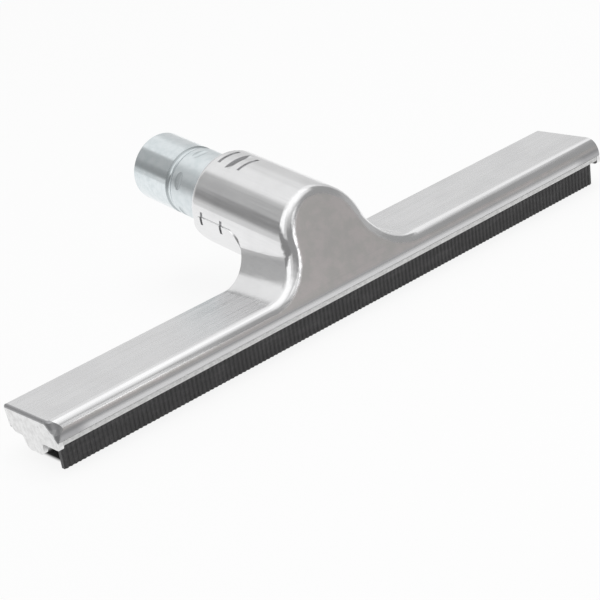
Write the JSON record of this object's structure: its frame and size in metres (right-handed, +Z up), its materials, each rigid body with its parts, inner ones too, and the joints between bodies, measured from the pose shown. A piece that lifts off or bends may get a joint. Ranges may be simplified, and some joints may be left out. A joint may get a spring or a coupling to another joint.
{
  "type": "wet pick-up squeegee head",
  "caption": "Cast aluminium floor squeegee head with a round neck, a plated connector tube for a vacuum wand, and ribbed rubber blades that rock on their beads.",
  "frame": {"origin": "on the floor under the middle of the whole part's box; the blade tips stand on z = 0", "axes": "+X along the bar, +Y to the rear where the wand goes, +Z up"},
  "size_m": [0.356, 0.1584, 0.0828],
  "materials": {
    "polished_casting": "linished and polished, with fine belt lines",
    "plain_aluminium": "plain, unpolished",
    "plated_steel": "bright zinc plating",
    "rubber": "matt black"
  },
  "bodies": {
    "head": {"head_casting": "polished_casting", "connector_tube": "plated_steel", "tube_seal_ring": "rubber", "tube_set_screws": "plated_steel", "front_blade_carrier": "plain_aluminium", "rear_blade_carrier": "plain_aluminium", "front_carrier_screws": "plated_steel", "rear_carrier_screws": "plated_steel", "left_end_plate": "plain_aluminium", "right_end_plate": "plain_aluminium", "end_plate_screws": "plated_steel"},
    "front_blade_body": {"front_blade": "rubber"},
    "rear_blade_body": {"rear_blade": "rubber"}
  },
  "joints": [
    {"name": "front_blade_flex", "type": "hinge", "parent": "head", "child": "front_blade_body", "pos_m": [0, -0.07318, 0.0173], "axis": [1, 0, 0], "range_deg": [-12, 12], "stiffness_Nm_per_rad": 3},
    {"name": "rear_blade_flex", "type": "hinge", "parent": "head", "child": "rear_blade_body", "pos_m": [0, -0.03778, 0.0173], "axis": [1, 0, 0], "range_deg": [-12, 12], "stiffness_Nm_per_rad": 3}
  ]
}
